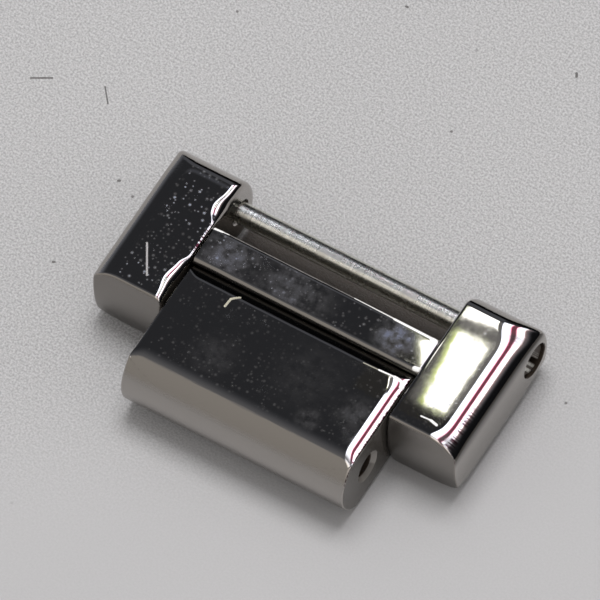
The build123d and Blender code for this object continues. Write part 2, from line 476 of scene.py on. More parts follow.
def polished_steel(
    name,
    *,
    dust_share,
    painted_front_shade=0.0,
    painted_flank_shade=0.0,
    film_share=1.0,
    painted_side_shade=0.0,
    marks=(),
    smudges=(),
    outline=None,
    painted_dashes=PAINTED_DASHES,
    holes=(),
):
    """Mirror-polished steel with faint ripples, polishing streaks, hairlines, smudges and fine dust, with painted
    shade and painted highlights.

    A mark is (start, end, width, colour, strength), a hole (y, radius, mouth radius, low x, high x).
    """
    finish = bpy.context.scene.link_finish
    material, tree = new_tree(name)
    place, (x, y, z) = object_places(tree)
    sideways, forward, upward = separated(tree, shader_node(tree, "ShaderNodeTexCoord", {}, "Normal"))
    on_top = upward.rise(0.985, 0.998)
    dust = dust_cover(tree, place) * on_top * dust_share
    film = noise(tree, place, 0.8, 5.0, 0.6).rise(0.5, 0.78) * on_top * film_share
    hairs = noise(tree, stretched(tree, place, (2.0, 40.0, 2.0)), 1.0, 3.0).rise(0.68, 0.74) * on_top

    # the front and side faces are rougher than the top, and their colour is darkened as painted shade
    front = (0.0 - forward).rise(0.55, 0.9)
    flank = sideways.size().rise(0.85, 0.99)
    painted_facing_shade = front * painted_front_shade + flank * painted_flank_shade
    plain = blend_colour(tree, painted_facing_shade, tuple(finish.steel), SHADED_STEEL)
    metal = 1.0 - dust * 0.9 - flank * painted_flank_shade * 0.8
    rough = finish.polish + film * 0.12 + dust * 0.3 + hairs * 0.03 + front * 0.25 + flank * 0.12
    # the mouth of each hole is dull cut steel, and inside it is painted dark as painted shade
    for hole_y, radius, mouth, low_x, high_x in holes:
        off_axis = flat_length(y - hole_y, z - MIDDLE_Z)
        within = x.band(low_x - 0.05, low_x, high_x, high_x + 0.05)
        sunk = off_axis.fall(mouth - 0.02, mouth) * within
        inside = off_axis.fall(radius - 0.02, radius) * within
        plain = blend_colour(tree, sunk, plain, CUT_STEEL)
        plain = blend_colour(tree, inside, plain, tuple(finish.hole_shade))
        metal = metal * (1.0 - sunk * 0.7)

    # painted dark dashes run down the soft edge, breaking up its reflection, and on the right outer link painted
    # shade darkens its lower part
    slopes, reach, dashes_a_mm = painted_dashes
    dashes = noise(tree, stretched(tree, place, (0.2, dashes_a_mm, 0.2)), 1.0).rise(0.45, 0.55)
    hatched = sideways.band(*slopes) * y.band(*reach) * z.rise(2.5, 2.8)
    plain = blend_colour(tree, dashes * hatched, plain, DARK_RED)
    shade = sideways.rise(0.70, 0.80) * z.rise(2.30, 3.05) * painted_side_shade
    plain = blend_colour(tree, shade, plain, NEAR_BLACK)

    base = blend_colour(tree, dust, plain, tuple(finish.dust))
    if smudges:
        haze = smudge_cover(tree, place, x, y, smudges) * on_top
        base = blend_colour(tree, haze, base, tuple(finish.haze))
        metal = metal * (1.0 - haze)
    if outline:
        # painted reflection: the flat falls away a little outside this line, which is painted as a dim line
        line = outline_cover(x, y, outline) * on_top
        base = blend_colour(tree, line * 0.3, base, tuple(finish.dust))
        metal = metal * (1.0 - line * (0.06 + film * 0.1))
    # marks in the highlight colour are painted highlights; the others are scratches and fibres
    for start, end, width, colour, strength in marks:
        mark = line_mark(x, y, start, end, width) * upward.rise(0.5, 0.8) * strength
        base = blend_colour(tree, mark, base, colour)
        metal = metal * (1.0 - mark)
        rough = rough + mark * 0.4

    ripple = noise(tree, place, 1.1)
    streaks = noise(tree, stretched(tree, place, (1.2, 26.0, 1.2)), 1.0, 3.0)
    streaks = streaks * upward.size().fall(0.90, 0.995)
    values = {"Base Color": base, "Metallic": metal, "Roughness": rough}
    return add_surface(material, tree, values, ((ripple, RIPPLE_DEPTH), (streaks, STREAK_DEPTH)))


def turned_steel(name):
    """Turned steel with fine rings round X and faint stains, and painted shade on the screw's head deep in its
    hole.
    """
    finish = bpy.context.scene.link_finish
    material, tree = new_tree(name)
    place, (x, y, z) = object_places(tree)
    rings = noise(tree, stretched(tree, place, (42.0, 0.3, 0.3)), 1.0)
    stains = noise(tree, place, 1.3, 4.0)
    base = blend_colour(tree, stains.rise(0.45, 0.7, 0.0, 0.2), tuple(finish.turned), STAIN)

    turn = bpy.context.scene.link_screw.slot_angle
    off_slot = (SCREW_Y - y) * math.sin(turn) + (z - MIDDLE_Z) * math.cos(turn)
    across_slot = shader_node(tree, "ShaderNodeCombineXYZ", {"X": off_slot * 15.0})
    thin_bars = noise(tree, across_slot, 1.0, 1.0).rise(0.50, 0.60) * off_slot.band(*THIN_BARS)
    bars = most([off_slot.band(*BRIGHT_BAR), off_slot.band(*TAN_BAR) * 0.5, thin_bars * 0.25])
    # the head deep in its hole gets painted shade, left off along bars that show as light stripes
    unshaded_bars = bars * noise(tree, place, 4.0, 3.0).rise(0.25, 0.5)
    hole_shade = x.rise(*HEAD_SHADE_START) * (1.0 - unshaded_bars)
    base = blend_colour(tree, hole_shade, base, tuple(finish.hole_shade))
    metal = 1.0 - hole_shade * 0.7
    rough = finish.turned_roughness + stains.rise(0.4, 0.8) * 0.08 + hole_shade * 0.2
    values = {"Base Color": base, "Metallic": metal, "Roughness": rough, "Specular IOR Level": 0.2}
    return add_surface(material, tree, values, ((rings, RING_DEPTH),))


def dress(piece, material):
    """Gives a piece one material."""
    piece.data.materials.clear()
    piece.data.materials.append(material)


# Surfaces


def new_object(name, data):
    """Adds an object to the scene."""
    made = bpy.data.objects.new(name, data)
    bpy.context.scene.collection.objects.link(made)
    return made


def smooth(mesh, sharp_degrees):
    """Shades a mesh smooth, apart from edges that turn by more than an angle."""
    mesh.polygons.foreach_set("use_smooth", np.ones(len(mesh.polygons), bool))
    mesh.set_sharp_from_angle(angle=math.radians(sharp_degrees))


class Shell:
    """A closed surface put together from grids of points that share their border points."""

    def __init__(self):
        self.points = []
        self.faces = []
        self.count = 0

    def add(self, points):
        """Adds points in millimetres and returns their numbers in the same layout."""
        points = np.asarray(points, float)
        numbers = self.count + np.arange(points[..., 0].size).reshape(points.shape[:-1])
        self.points.append(points.reshape(-1, 3))
        self.count += numbers.size
        return numbers

    def join(self, numbers, keep=None):
        """Quads between neighbouring rows and columns. Keep says which quads are wanted."""
        quads = np.stack([numbers[:-1, :-1], numbers[1:, :-1], numbers[1:, 1:], numbers[:-1, 1:]], -1)
        self.faces.append(quads[keep] if keep is not None else quads.reshape(-1, 4))

    def join_rings(self, rings):
        """Quads between closed rings, each a row of the same number of points."""
        rings = np.asarray(rings)
        self.join(np.concatenate([rings, rings[:, :1]], 1))

    def close(self, ring, tip):
        """Triangles from a closed ring to one point."""
        number = self.add([tip])[0]
        after = np.roll(ring, -1)
        self.faces.append(np.stack([ring, after, np.full(len(ring), number)], -1))

    def build(self, name, sharp_degrees=32.0):
        """Writes the mesh, with its faces turned outwards and its creases sharp."""
        corners = np.concatenate([faces.ravel() for faces in self.faces]).astype(np.int32)
        sides = np.concatenate([np.full(len(faces), faces.shape[1]) for faces in self.faces])
        starts = (np.cumsum(sides) - sides).astype(np.int32)
        mesh = bpy.data.meshes.new(name)
        mesh.vertices.add(self.count)
        mesh.vertices.foreach_set("co", (np.concatenate(self.points) * MM).astype(np.float32).ravel())
        mesh.loops.add(len(corners))
        mesh.loops.foreach_set("vertex_index", corners)
        mesh.polygons.add(len(sides))
        mesh.polygons.foreach_set("loop_start", starts)
        mesh.update(calc_edges=True)
        mesh.validate()
        work = bmesh.new()
        work.from_mesh(mesh)
        bmesh.ops.recalc_face_normals(work, faces=work.faces)
        if any(not edge.is_manifold for edge in work.edges):
            raise RuntimeError(name + " is not closed")
        work.to_mesh(mesh)
        work.free()
        smooth(mesh, sharp_degrees)
        return new_object(name, mesh)


def edge_turn(roll, bend, turn, angles):
    """Insets from the side and drops from the flat along a soft edge, by the angle that it has turned.

    It is an arc of radius roll up to turn, and then an arc of radius bend that ends upright.
    """
    rolled = angles <= turn
    inset = np.where(
        rolled,
        roll * (math.sin(turn) - np.sin(angles)) + bend * (1 - math.sin(turn)),
        bend * (1 - np.sin(angles)),
    )
    drop = np.where(
        rolled,
        roll * (1 - np.cos(angles)),
        (roll - bend) * (1 - math.cos(turn)) + bend * (1 - np.cos(angles)),
    )
    return inset, drop


def end_arc(tip, bulge, side, z):
    """Y of a bulged end face at height z. It is a circle through both edges whose tip bulges out."""
    radius = (MIDDLE_Z**2 + bulge**2) / (2 * bulge)
    return tip - side * (radius - np.sqrt(np.maximum(radius**2 - (z - MIDDLE_Z) ** 2, 0)))


def bump(y, middle, width):
    """A smooth bump of height 1 round the middle."""
    return np.exp(-(((y - middle) / width) ** 2))


def smooth_step(low, high, value):
    """0 up to low and 1 from high, with a smooth change between them."""
    share = np.clip((value - low) / (high - low), 0, 1)
    return share * share * (3 - 2 * share)


class Block:
    """A polished block: a cross section with four soft edges, carried along Y between two bulged ends.

    A point is told by its station round the section and its row along Y. Each row is the section
    moved inwards by the end rim's drop, at the Y of the end face less the rim's inset.
    """

    corner_steps = 15
    flat_steps = 12
    side_steps = 18
    rows = 61
    rim_steps = 9
    cap_shares = (0.985, 0.95, 0.9, 0.83, 0.76, 0.68, 0.6, 0.52, 0.44, 0.36, 0.28, 0.2, 0.1)

    def __init__(self, left, right, front, rear, turn, edge_change):
        """Left and right are (side x, roll, bend) and front and rear are (tip y, bulge, top rim, side rim).

        Turn is where the roll meets the bend, and edge_change gives the share by which a side's
        soft edge grows at each Y.
        """
        self.left = left
        self.right = right
        self.front = front
        self.rear = rear
        self.turn = turn
        self.edge_change = edge_change

    def section(self, y):
        """Places and outward directions round the section, where y is one number for each row."""
        turn = self.turn
        early = np.linspace(0, turn, self.corner_steps)
        angles = np.concatenate([early, np.linspace(turn, HALF_PI, self.corner_steps // 2)[1:]])
        corners = []
        for (side_x, roll, bend), side, up in (
            (self.right, 1, 1),
            (self.right, 1, -1),
            (self.left, -1, -1),
            (self.left, -1, 1),
        ):
            change = self.edge_change(side, y)
            order = angles if (side > 0) == (up > 0) else angles[::-1]
            spread = order[:, None] * np.ones_like(y)[None, :]
            inset, drop = edge_turn(roll * change, bend * change, turn, spread)
            x = side_x - side * inset
            z = MIDDLE_Z + up * (MIDDLE_Z - drop)
            corners.append((x, z, side * np.sin(spread), up * np.cos(spread)))
        loops = []
        self.side_ranges = {}
        at = 0
        for number, corner in enumerate(corners):
            following = corners[(number + 1) % 4]
            steps = self.side_steps if number in (0, 2) else self.flat_steps
            shares = np.linspace(0, 1, steps + 1)[1:-1]
            if number in (1, 3):
                shares = 0.5 - 0.5 * np.cos(np.pi * shares)
            flat = []
            for part in range(4):
                start = corner[part][-1][None, :]
                end = following[part][0][None, :]
                flat.append(start + (end - start) * shares[:, None])
            at += len(corner[0])
            if number in (0, 2):
                self.side_ranges[1 if number == 0 else -1] = (at - 1, at + len(shares))
            at += len(shares)
            loops.append([np.concatenate([corner[part], flat[part]]) for part in range(4)])
        return [np.concatenate([loop[part] for loop in loops]) for part in range(4)]

    def rim(self, end, up_share):
        """The rim's drop and length at each station, softer along the top than along the sides."""
        _, _, top_rim, side_rim = end
        drop = side_rim + (top_rim[1] - side_rim) * up_share
        length = side_rim + (top_rim[0] - side_rim) * up_share
        return drop, length

    def grid(self):
        """Points of all rows between the two end caps, stations by rows."""
        row_shares = np.linspace(0, 1, self.rows)
        shares = np.linspace(0, 1, self.rim_steps)[1:]
        front_y = self.front[0] + self.front[1]
        rear_y = self.rear[0] - self.rear[1]
        x, z, nx, nz = self.section(front_y + (rear_y - front_y) * row_shares)
        up_share = smooth_step(0.3, 0.95, nz[:, :1] ** 2)
        columns = []
        front_drop, front_length = self.rim(self.front, up_share)
        rear_drop, rear_length = self.rim(self.rear, up_share)
        for share in shares[::-1]:
            start = (x[:, :1], z[:, :1], nx[:, :1], nz[:, :1], self.front, -1)
            columns.append(self.rim_column(*start, share, front_drop, front_length))
        begin = end_arc(self.front[0], self.front[1], -1, z) + front_length
        finish = end_arc(self.rear[0], self.rear[1], 1, z) - rear_length
        y = begin + (finish - begin) * row_shares[None, :]
        columns.append(np.stack([x, y, z], -1))
        for share in shares:
            stop = (x[:, -1:], z[:, -1:], nx[:, -1:], nz[:, -1:], self.rear, 1)
            columns.append(self.rim_column(*stop, share, rear_drop, rear_length))
        return np.concatenate(columns, 1)

    def rim_column(self, x, z, nx, nz, end, side, share, drop, length):
        """One row of a rim: a quadratic curve from the flat through the sharp corner to the end face."""
        inward = drop * share**2
        corner = end_arc(end[0], end[1], side, z)
        start = corner - side * length
        landing = end_arc(end[0], end[1], side, z - nz * drop)
        y = (1 - share) ** 2 * start + 2 * share * (1 - share) * corner + share**2 * landing
        return np.stack([x - nx * inward, y, z - nz * inward], -1)

    def make(self, shell, openings):
        """Adds the block to a shell. Openings are (side, centres), and it returns their border rings."""
        points = self.grid()
        numbers = shell.add(points)
        stations, columns = numbers.shape
        wrapped = np.concatenate([numbers, numbers[:1]], 0)
        keep = np.ones((stations, columns - 1), bool)
        first = self.rim_steps - 1
        last = columns - self.rim_steps
        borders = {}
        for side, centres in openings.items():
            low, high = self.side_ranges[side]
            keep[low:high, first:last] = False
            cuts = [first]
            for near, far in zip(centres[:-1], centres[1:]):
                middle_row = np.abs(points[(low + high) // 2, first:last, 1] - (near + far) / 2).argmin()
                cuts.append(first + int(middle_row))
            cuts.append(last)
            for centre, start, stop in zip(centres, cuts[:-1], cuts[1:]):
                ring = np.concatenate(
                    [
                        numbers[low, start:stop],
                        numbers[low:high, stop],
                        numbers[high, stop:start:-1],
                        numbers[high:low:-1, start],
                    ]
                )
                borders[(side, centre)] = ring
        shell.join(wrapped, keep)
        middle_x = (self.left[0] + self.right[0]) / 2
        for column, end, side in ((0, self.front, -1), (columns - 1, self.rear, 1)):
            rim = points[:, column]
            rings = [numbers[:, column]]
            for share in self.cap_shares:
                px = middle_x + (rim[:, 0] - middle_x) * share
                pz = MIDDLE_Z + (rim[:, 2] - MIDDLE_Z) * share
                py = end_arc(end[0], end[1], side, pz)
                rings.append(shell.add(np.stack([px, py, pz], -1)))
            shell.join_rings(rings)
            shell.close(rings[-1], (middle_x, end[0], MIDDLE_Z))
        return borders


def hole_ring(centre_y, angles, radius, x):
    """A ring of points round a hole's axis along X."""
    y = centre_y + radius * np.cos(angles)
    z = MIDDLE_Z + radius * np.sin(angles)
    return np.stack([np.full_like(y, x), y, z], -1)


def open_side(shell, border, centre_y, radius, side_x):
    """Fills a flat side between its border and a round hole. It gives the hole's ring and its angles."""
    places = np.concatenate(shell.points)[border]
    angles = np.arctan2(places[:, 2] - MIDDLE_Z, places[:, 1] - centre_y)
    edge = hole_ring(centre_y, angles, radius, side_x)
    rings = [border]
    for share in (0.55, 0.25, 0.08, 0.0):
        rings.append(shell.add(edge + (places - edge) * share))
    shell.join_rings(rings)
    return rings[-1], angles


def sink(shell, ring, angles, centre_y, steps):
    """Carries a hole inwards through rings of (x, radius)."""
    rings = [ring]
    for x, radius in steps:
        rings.append(shell.add(hole_ring(centre_y, angles, radius, x)))
    shell.join_rings(rings)
    return rings[-1]


def pass_through(shell, first, second, centre_y, radius, x_first, x_second):
    """Joins the rings of a through hole, whose angles change evenly on the way."""
    (ring_a, angles_a), (ring_b, angles_b) = first, second
    angles_a = np.unwrap(angles_a)
    angles_b = np.unwrap(angles_b)
    direction = np.sign(angles_a[-1] - angles_a[0])
    if np.sign(angles_b[-1] - angles_b[0]) != direction:
        angles_b = angles_b[::-1]
        ring_b = ring_b[::-1]
    offset = np.argmin(np.abs(np.exp(1j * angles_b) - np.exp(1j * angles_a[0])))
    angles_b = np.roll(angles_b, -offset)
    ring_b = np.roll(ring_b, -offset)
    difference = np.angle(np.exp(1j * (angles_b - angles_a)))
    rings = [ring_a]
    for share in (0.2, 0.4, 0.6, 0.8):
        x = x_first + (x_second - x_first) * share
        rings.append(shell.add(hole_ring(centre_y, angles_a + difference * share, radius, x)))
    rings.append(ring_b)
    shell.join_rings(rings)


# Each rim is its length and drop along the top, and then its size along the sides
OUTER_FRONT_RIM = ((0.15, 0.14), 0.12)
OUTER_REAR_RIM = ((0.22, 0.14), 0.24)
CENTRE_FRONT_RIM = ((0.4, 0.12), 0.12)
CENTRE_REAR_RIM = ((0.07, 0.07), 0.12)

# How much larger the soft edges grow at the blocks' ends, as a share
RIGHT_END_SOFTNESS, LEFT_END_SOFTNESS = 0.45, 0.1
CENTRE_RIGHT_SOFTNESS, CENTRE_LEFT_SOFTNESS = 0.32, 0.08

# Breaks at the mouths of holes, gaps and other small sizes in millimetres
HEAD_HOLE_BREAK = 0.03
SHAFT_HOLE_BREAK = 0.1
SHAFT_SEAT_DEPTH = 0.5
THREAD_GAP = 0.03
TIP_GAP = 0.1
PIVOT_BORE_RADIUS = 0.53
PIVOT_BORE_BREAK = 0.02
BAR_GAP = 0.08
BAR_END_RIM = 0.07
THREAD_RELIEF = 0.08
HEAD_CHAMFER = 0.08

# How finely the screw is made
SCREW_COLUMNS = 72
THREAD_RINGS = 91
SCREW_SHARP_DEGREES = 28.0


def outer_link(side):
    """An outer link on the side -1 or 1, with the screw's holes. Its soft edge is on the outer side."""
    shape = bpy.context.scene.link_shape
    screw = bpy.context.scene.link_screw
    inner_x = side * float(OUTER_LOW[0])
    outer_x = side * float(OUTER_HIGH[0])
    inner = (inner_x, *in_mm(shape, "inner_round", "inner_round"))
    outer = (outer_x, *in_mm(shape, "outer_roll", "outer_bend"))
    front = (float(OUTER_LOW[1]), *in_mm(shape, "front_bulge"), *OUTER_FRONT_RIM)
    rear = (float(OUTER_HIGH[1]), *in_mm(shape, "rear_bulge"), *OUTER_REAR_RIM)
    bar_front = float(BAR_LOW[1])
    bar_rear = float(BAR_HIGH[1])
    joined = shape.joined_round / shape.inner_round
    end_softness = RIGHT_END_SOFTNESS if side > 0 else LEFT_END_SOFTNESS

    def edge_change(edge_side, y):
        """The outer edge is softer at both ends. The inner one is nearly sharp where the bar is joined."""
        if edge_side == side:
            rear_end = rear[0] - rear[1]
            return 1 + end_softness * (bump(y, front[0], 0.55) + bump(y, rear_end, 0.65))
        if side > 0:
            return np.full_like(y, joined)
        beside_bar = smooth_step(bar_front - 0.45, bar_front + 0.1, y)
        beside_bar = beside_bar * smooth_step(bar_rear + 0.5, bar_rear - 0.05, y)
        fuller = bump(y, -0.75, 0.6) + bump(y, 3.3, 0.5)
        return (1 + 0.55 * fuller) * (1 - beside_bar) + joined * beside_bar

    left, right = (inner, outer) if side > 0 else (outer, inner)
    block = Block(left, right, front, rear, shape.roll_turn, edge_change)
    shell = Shell()
    openings = {1: [SCREW_Y], -1: [SCREW_Y]} if side > 0 else {1: [SCREW_Y]}
    borders = block.make(shell, openings)
    shaft, shaft_gap, thread, thread_length = in_mm(screw, "shaft", "shaft_gap", "thread", "thread_length")
    shaft_radius = shaft / 2 + shaft_gap
    if side > 0:
        head, head_gap, head_depth, head_length = in_mm(screw, "head", "head_gap", "head_depth", "head_length")
        head_radius = head / 2 + head_gap
        seat_x = outer_x - (head_depth + head_length)
        rim_radius = head_radius + HEAD_HOLE_BREAK
        ring, angles = open_side(shell, borders[(1, SCREW_Y)], SCREW_Y, rim_radius, outer_x)
        steps = [(outer_x - HEAD_HOLE_BREAK, head_radius), (seat_x, head_radius), (seat_x, shaft_radius)]
        ring = sink(shell, ring, angles, SCREW_Y, steps)
        inner_end = open_side(shell, borders[(-1, SCREW_Y)], SCREW_Y, shaft_radius, inner_x)
        pass_through(shell, (ring, angles), inner_end, SCREW_Y, shaft_radius, seat_x, inner_x)
    else:
        seat_x = inner_x - SHAFT_SEAT_DEPTH
        thread_radius = thread / 2 + THREAD_GAP
        end_x = seat_x - thread_length - TIP_GAP
        rim_radius = shaft_radius + SHAFT_HOLE_BREAK
        ring, angles = open_side(shell, borders[(1, SCREW_Y)], SCREW_Y, rim_radius, inner_x)
        steps = [
            (inner_x - SHAFT_HOLE_BREAK, shaft_radius),
            (seat_x, shaft_radius),
            (seat_x, thread_radius),
            (end_x, thread_radius),
        ]
        ring = sink(shell, ring, angles, SCREW_Y, steps)
        shell.close(ring, (end_x, SCREW_Y, MIDDLE_Z))
    return shell


def centre_link():
    """The swinging centre link, with its pivot bore and its countersunk front bore."""
    shape = bpy.context.scene.link_shape
    screw = bpy.context.scene.link_screw
    side_x = float(CENTRE_HIGH[0])
    bulge = END_RADIUS - math.sqrt(END_RADIUS**2 - MIDDLE_Z**2)
    roll, bend = in_mm(shape, "centre_roll", "centre_bend")
    front = (float(CENTRE_LOW[1]), bulge, *CENTRE_FRONT_RIM)
    rear = (float(CENTRE_HIGH[1]), bulge, *CENTRE_REAR_RIM)
    rear_y = rear[0] - bulge

    def edge_change(side, y):
        """The edges are softer at the rear, the right one more than the left."""
        softness = CENTRE_RIGHT_SOFTNESS if side > 0 else CENTRE_LEFT_SOFTNESS
        return 1 + softness * bump(y, rear_y, 0.35)

    left, right = (-side_x, roll, bend), (side_x, roll, bend)
    block = Block(left, right, front, rear, shape.centre_turn, edge_change)
    shell = Shell()
    centres = [BORE_Y, PIVOT_Y]
    borders = block.make(shell, {1: centres, -1: centres})
    shaft, bore_gap, countersink = in_mm(screw, "shaft", "bore_gap", "countersink")
    front_bore = (BORE_Y, shaft / 2 + bore_gap, countersink)
    pivot_bore = (PIVOT_Y, PIVOT_BORE_RADIUS, PIVOT_BORE_BREAK)
    for centre, radius, depth in (front_bore, pivot_bore):
        ends = []
        for side in (1, -1):
            ring, angles = open_side(shell, borders[(side, centre)], centre, radius + depth, side * side_x)
            ring = sink(shell, ring, angles, centre, [(side * (side_x - depth), radius)])
            ends.append((ring, angles))
        start_x = side_x - depth
        pass_through(shell, ends[0], ends[1], centre, radius, start_x, -start_x)
    return shell


def bridge_bar():
    """The bar: a section with hollow flanks, carried along X, with small rims at its ends.

    Each flank is upright near the top and bottom, and between them follows a circle about the
    pivot's or the screw's axis.
    """
    (round_size,) = in_mm(bpy.context.scene.link_shape, "bar_round")
    low_y, high_y = float(BAR_LOW[1]), float(BAR_HIGH[1])
    top_z = float(BAR_HIGH[2])
    half_height = top_z - MIDDLE_Z
    flank = END_RADIUS + BAR_GAP
    angles = np.linspace(0, HALF_PI, 10)
    flanks = []
    for side, edge_y, axis_y in ((1, high_y, SCREW_Y), (-1, low_y, PIVOT_Y)):
        meet = math.sqrt(flank**2 - (axis_y - edge_y) ** 2)
        y = edge_y - side * round_size * (1 - np.sin(angles))
        z = half_height - round_size * (1 - np.cos(angles))
        upper = np.stack([y, z, side * np.sin(angles), np.cos(angles)], -1)
        flat = [(edge_y - side * (round_size + gap), half_height, 0, 1) for gap in (0.4, 0.12, 0.03)]
        turn = np.linspace(math.asin(meet / flank), 0, 14)
        hollow_y = axis_y - side * flank * np.cos(turn)
        hollow_z = flank * np.sin(turn)
        hollow = np.stack([hollow_y, hollow_z, side * np.cos(turn), -np.sin(turn)], -1)
        half = np.concatenate([flat, upper, hollow[:-1]])
        lower = half[::-1] * np.array([1, -1, 1, -1])
        flanks.append(np.concatenate([half, hollow[-1:], lower]))
    rear, front = flanks
    loop = np.concatenate([rear, front[::-1]])
    half_length = float(BAR_HIGH[0])
    rings = []
    shell = Shell()
    rim_rows = [
        (BAR_END_RIM * (1 - math.sin(angle)), BAR_END_RIM * (1 - math.cos(angle)))
        for angle in np.linspace(HALF_PI, 0, 7)
    ]
    rim_rows += [(BAR_END_RIM + gap, 0) for gap in (0.02, 0.06, 0.15, 0.4, 1.0, 2.0, 3.5)]
    rows = [(inset - half_length, inward) for inset, inward in rim_rows]
    rows += [(half_length - inset, inward) for inset, inward in rim_rows[::-1]]
    for place, inward in rows:
        y = loop[:, 0] - loop[:, 2] * inward
        z = MIDDLE_Z + loop[:, 1] - loop[:, 3] * inward
        rings.append(shell.add(np.stack([np.full_like(y, place), y, z], -1)))
    shell.join_rings(rings)
    middle_y = (low_y + high_y) / 2
    for ring, side in ((rings[0], -1), (rings[-1], 1)):
        places = np.concatenate(shell.points)[ring]
        tip = np.array([side * half_length, middle_y, MIDDLE_Z])
        inner = [ring]
        for share in (0.6, 0.25):
            inner.append(shell.add(tip + (places - tip) * share))
        shell.join_rings(inner)
        shell.close(inner[-1], tip)
    return shell


def screw_surface():
    """The screw as rings of radius by x and angle. Its thread is a ridge that climbs one pitch a turn."""
    screw = bpy.context.scene.link_screw
    shaft, head, crest = (size / 2 for size in in_mm(screw, "shaft", "head", "thread"))
    depth, pitch, thread_length, head_length = in_mm(screw, "thread_depth", "pitch", "thread_length", "head_length")
    tip_x = float(SCREW_LOW[0])
    shaft_x = tip_x + thread_length
    top_x = float(SCREW_HIGH[0])
    seat_x = top_x - head_length
    around = np.linspace(0, 2 * np.pi, SCREW_COLUMNS, endpoint=False)
    rows = []
    thread_end = shaft_x - THREAD_RELIEF
    for x in np.linspace(tip_x, thread_end, THREAD_RINGS):
        phase = (x / pitch - around / (2 * np.pi)) % 1
        ridge = np.clip(1.6 - np.abs(phase - 0.5) * 4.2, 0, 1)
        fade = min(1, (x - tip_x) / 0.12 + 0.15, (thread_end - x) / 0.15)
        rows.append((x, crest - depth + depth * ridge * max(fade, 0)))
    rows += [
        (shaft_x - 0.05, crest - depth),
        (shaft_x, shaft - 0.06),
        (shaft_x + 0.06, shaft),
        (shaft_x + 0.3, shaft),
        (0.0, shaft),
        (seat_x - 0.3, shaft),
        (seat_x - 0.03, shaft),
        (seat_x, shaft + 0.03),
        (seat_x, head - 0.04),
        (seat_x + 0.04, head),
        (top_x - HEAD_CHAMFER, head),
        (top_x, head - HEAD_CHAMFER),
        (top_x, head * 0.6),
        (top_x, head * 0.2),
    ]
    shell = Shell()
    rings = []
    for x, radius in rows:
        y = SCREW_Y + radius * np.cos(around)
        z = MIDDLE_Z + radius * np.sin(around)
        rings.append(shell.add(np.stack([np.full_like(y, x), y, z], -1)))
    shell.join_rings(rings)
    shell.close(rings[0], (tip_x, SCREW_Y, MIDDLE_Z))
    shell.close(rings[-1], (top_x, SCREW_Y, MIDDLE_Z))
    return shell


def cut_slot(piece):
    """Cuts the slot across the screw's head and keeps the result as the piece's own mesh."""
    screw = bpy.context.scene.link_screw
    half = np.array([screw.slot_depth, screw.head, screw.slot_width / 2])
    signs = np.array([[a, b, c] for a in (-1, 1) for b in (-1, 1) for c in (-1, 1)])
    centre = Vector((float(SCREW_HIGH[0]) * MM, SCREW_Y * MM, MIDDLE_Z * MM))
    turn = Matrix.Translation(centre) @ Matrix.Rotation(screw.slot_angle, 4, "X")
    corners = [turn @ Vector(corner) for corner in signs * half]
    sides = [(0, 1, 3, 2), (4, 6, 7, 5), (0, 4, 5, 1), (2, 3, 7, 6), (0, 2, 6, 4), (1, 5, 7, 3)]
    cutter_mesh = bpy.data.meshes.new("slot")
    cutter_mesh.from_pydata(corners, [], sides)
    cutter = new_object("slot", cutter_mesh)
    cut = piece.modifiers.new("slot", "BOOLEAN")
    cut.operation = "DIFFERENCE"
    cut.solver = "EXACT"
    cut.object = cutter
    bpy.context.view_layer.update()
    seen = piece.evaluated_get(bpy.context.evaluated_depsgraph_get())
    mesh = bpy.data.meshes.new_from_object(seen)
    piece.modifiers.clear()
    piece.data = mesh
    smooth(mesh, SCREW_SHARP_DEGREES)
    bpy.data.objects.remove(cutter)


# Studio


# The lamp's place and size in metres. It is turned to the link
LAMP_PLACE = Vector((-0.04, 0.165, 0.57))
LAMP_WIDTH, LAMP_HEIGHT = 0.30, 0.26

# The card's distance and low and high corners in millimetres
CARD_DISTANCE = 25.0
CARD_LOW, CARD_HIGH = (3.4, -1.3), (10.8, 5.6)

FLOOR_REACH = 1.5
TABLE_FIBRES = (
    ((-16.57, 6.10), (-15.81, 6.53), 0.05),
    ((-13.74, 7.23), (-13.23, 6.62), 0.04),
    ((-10.98, 3.78), (-10.93, 3.80), 0.07),
    ((2.52, 17.19), (2.60, 17.05), 0.07),
    ((-5.10, 16.46), (-5.02, 16.46), 0.06),
    ((-11.29, -0.72), (-11.25, -0.70), 0.07),
)

# The picture's middle lies this far right of the link's middle and above it, in metres
AIM_RIGHT, AIM_UP = 0.0000256, 0.0019052
PIXELS_A_METRE, PICTURE_PIXELS = 25016, 600


def make_lamp():
    """An area lamp high behind the link. The polish doesn't mirror it."""
    light = bpy.data.lights.new("window_light", "AREA")
    light.shape = "RECTANGLE"
    light.size = LAMP_WIDTH
    light.size_y = LAMP_HEIGHT
    light.energy = bpy.context.scene.link_studio.window_light * math.pi * LAMP_WIDTH * LAMP_HEIGHT
    lamp = new_object("window_light", light)
    lamp.location = LAMP_PLACE
    lamp.rotation_euler = (-LAMP_PLACE).to_track_quat("-Z", "Y").to_euler()
    lamp.visible_camera = False
    lamp.visible_glossy = False


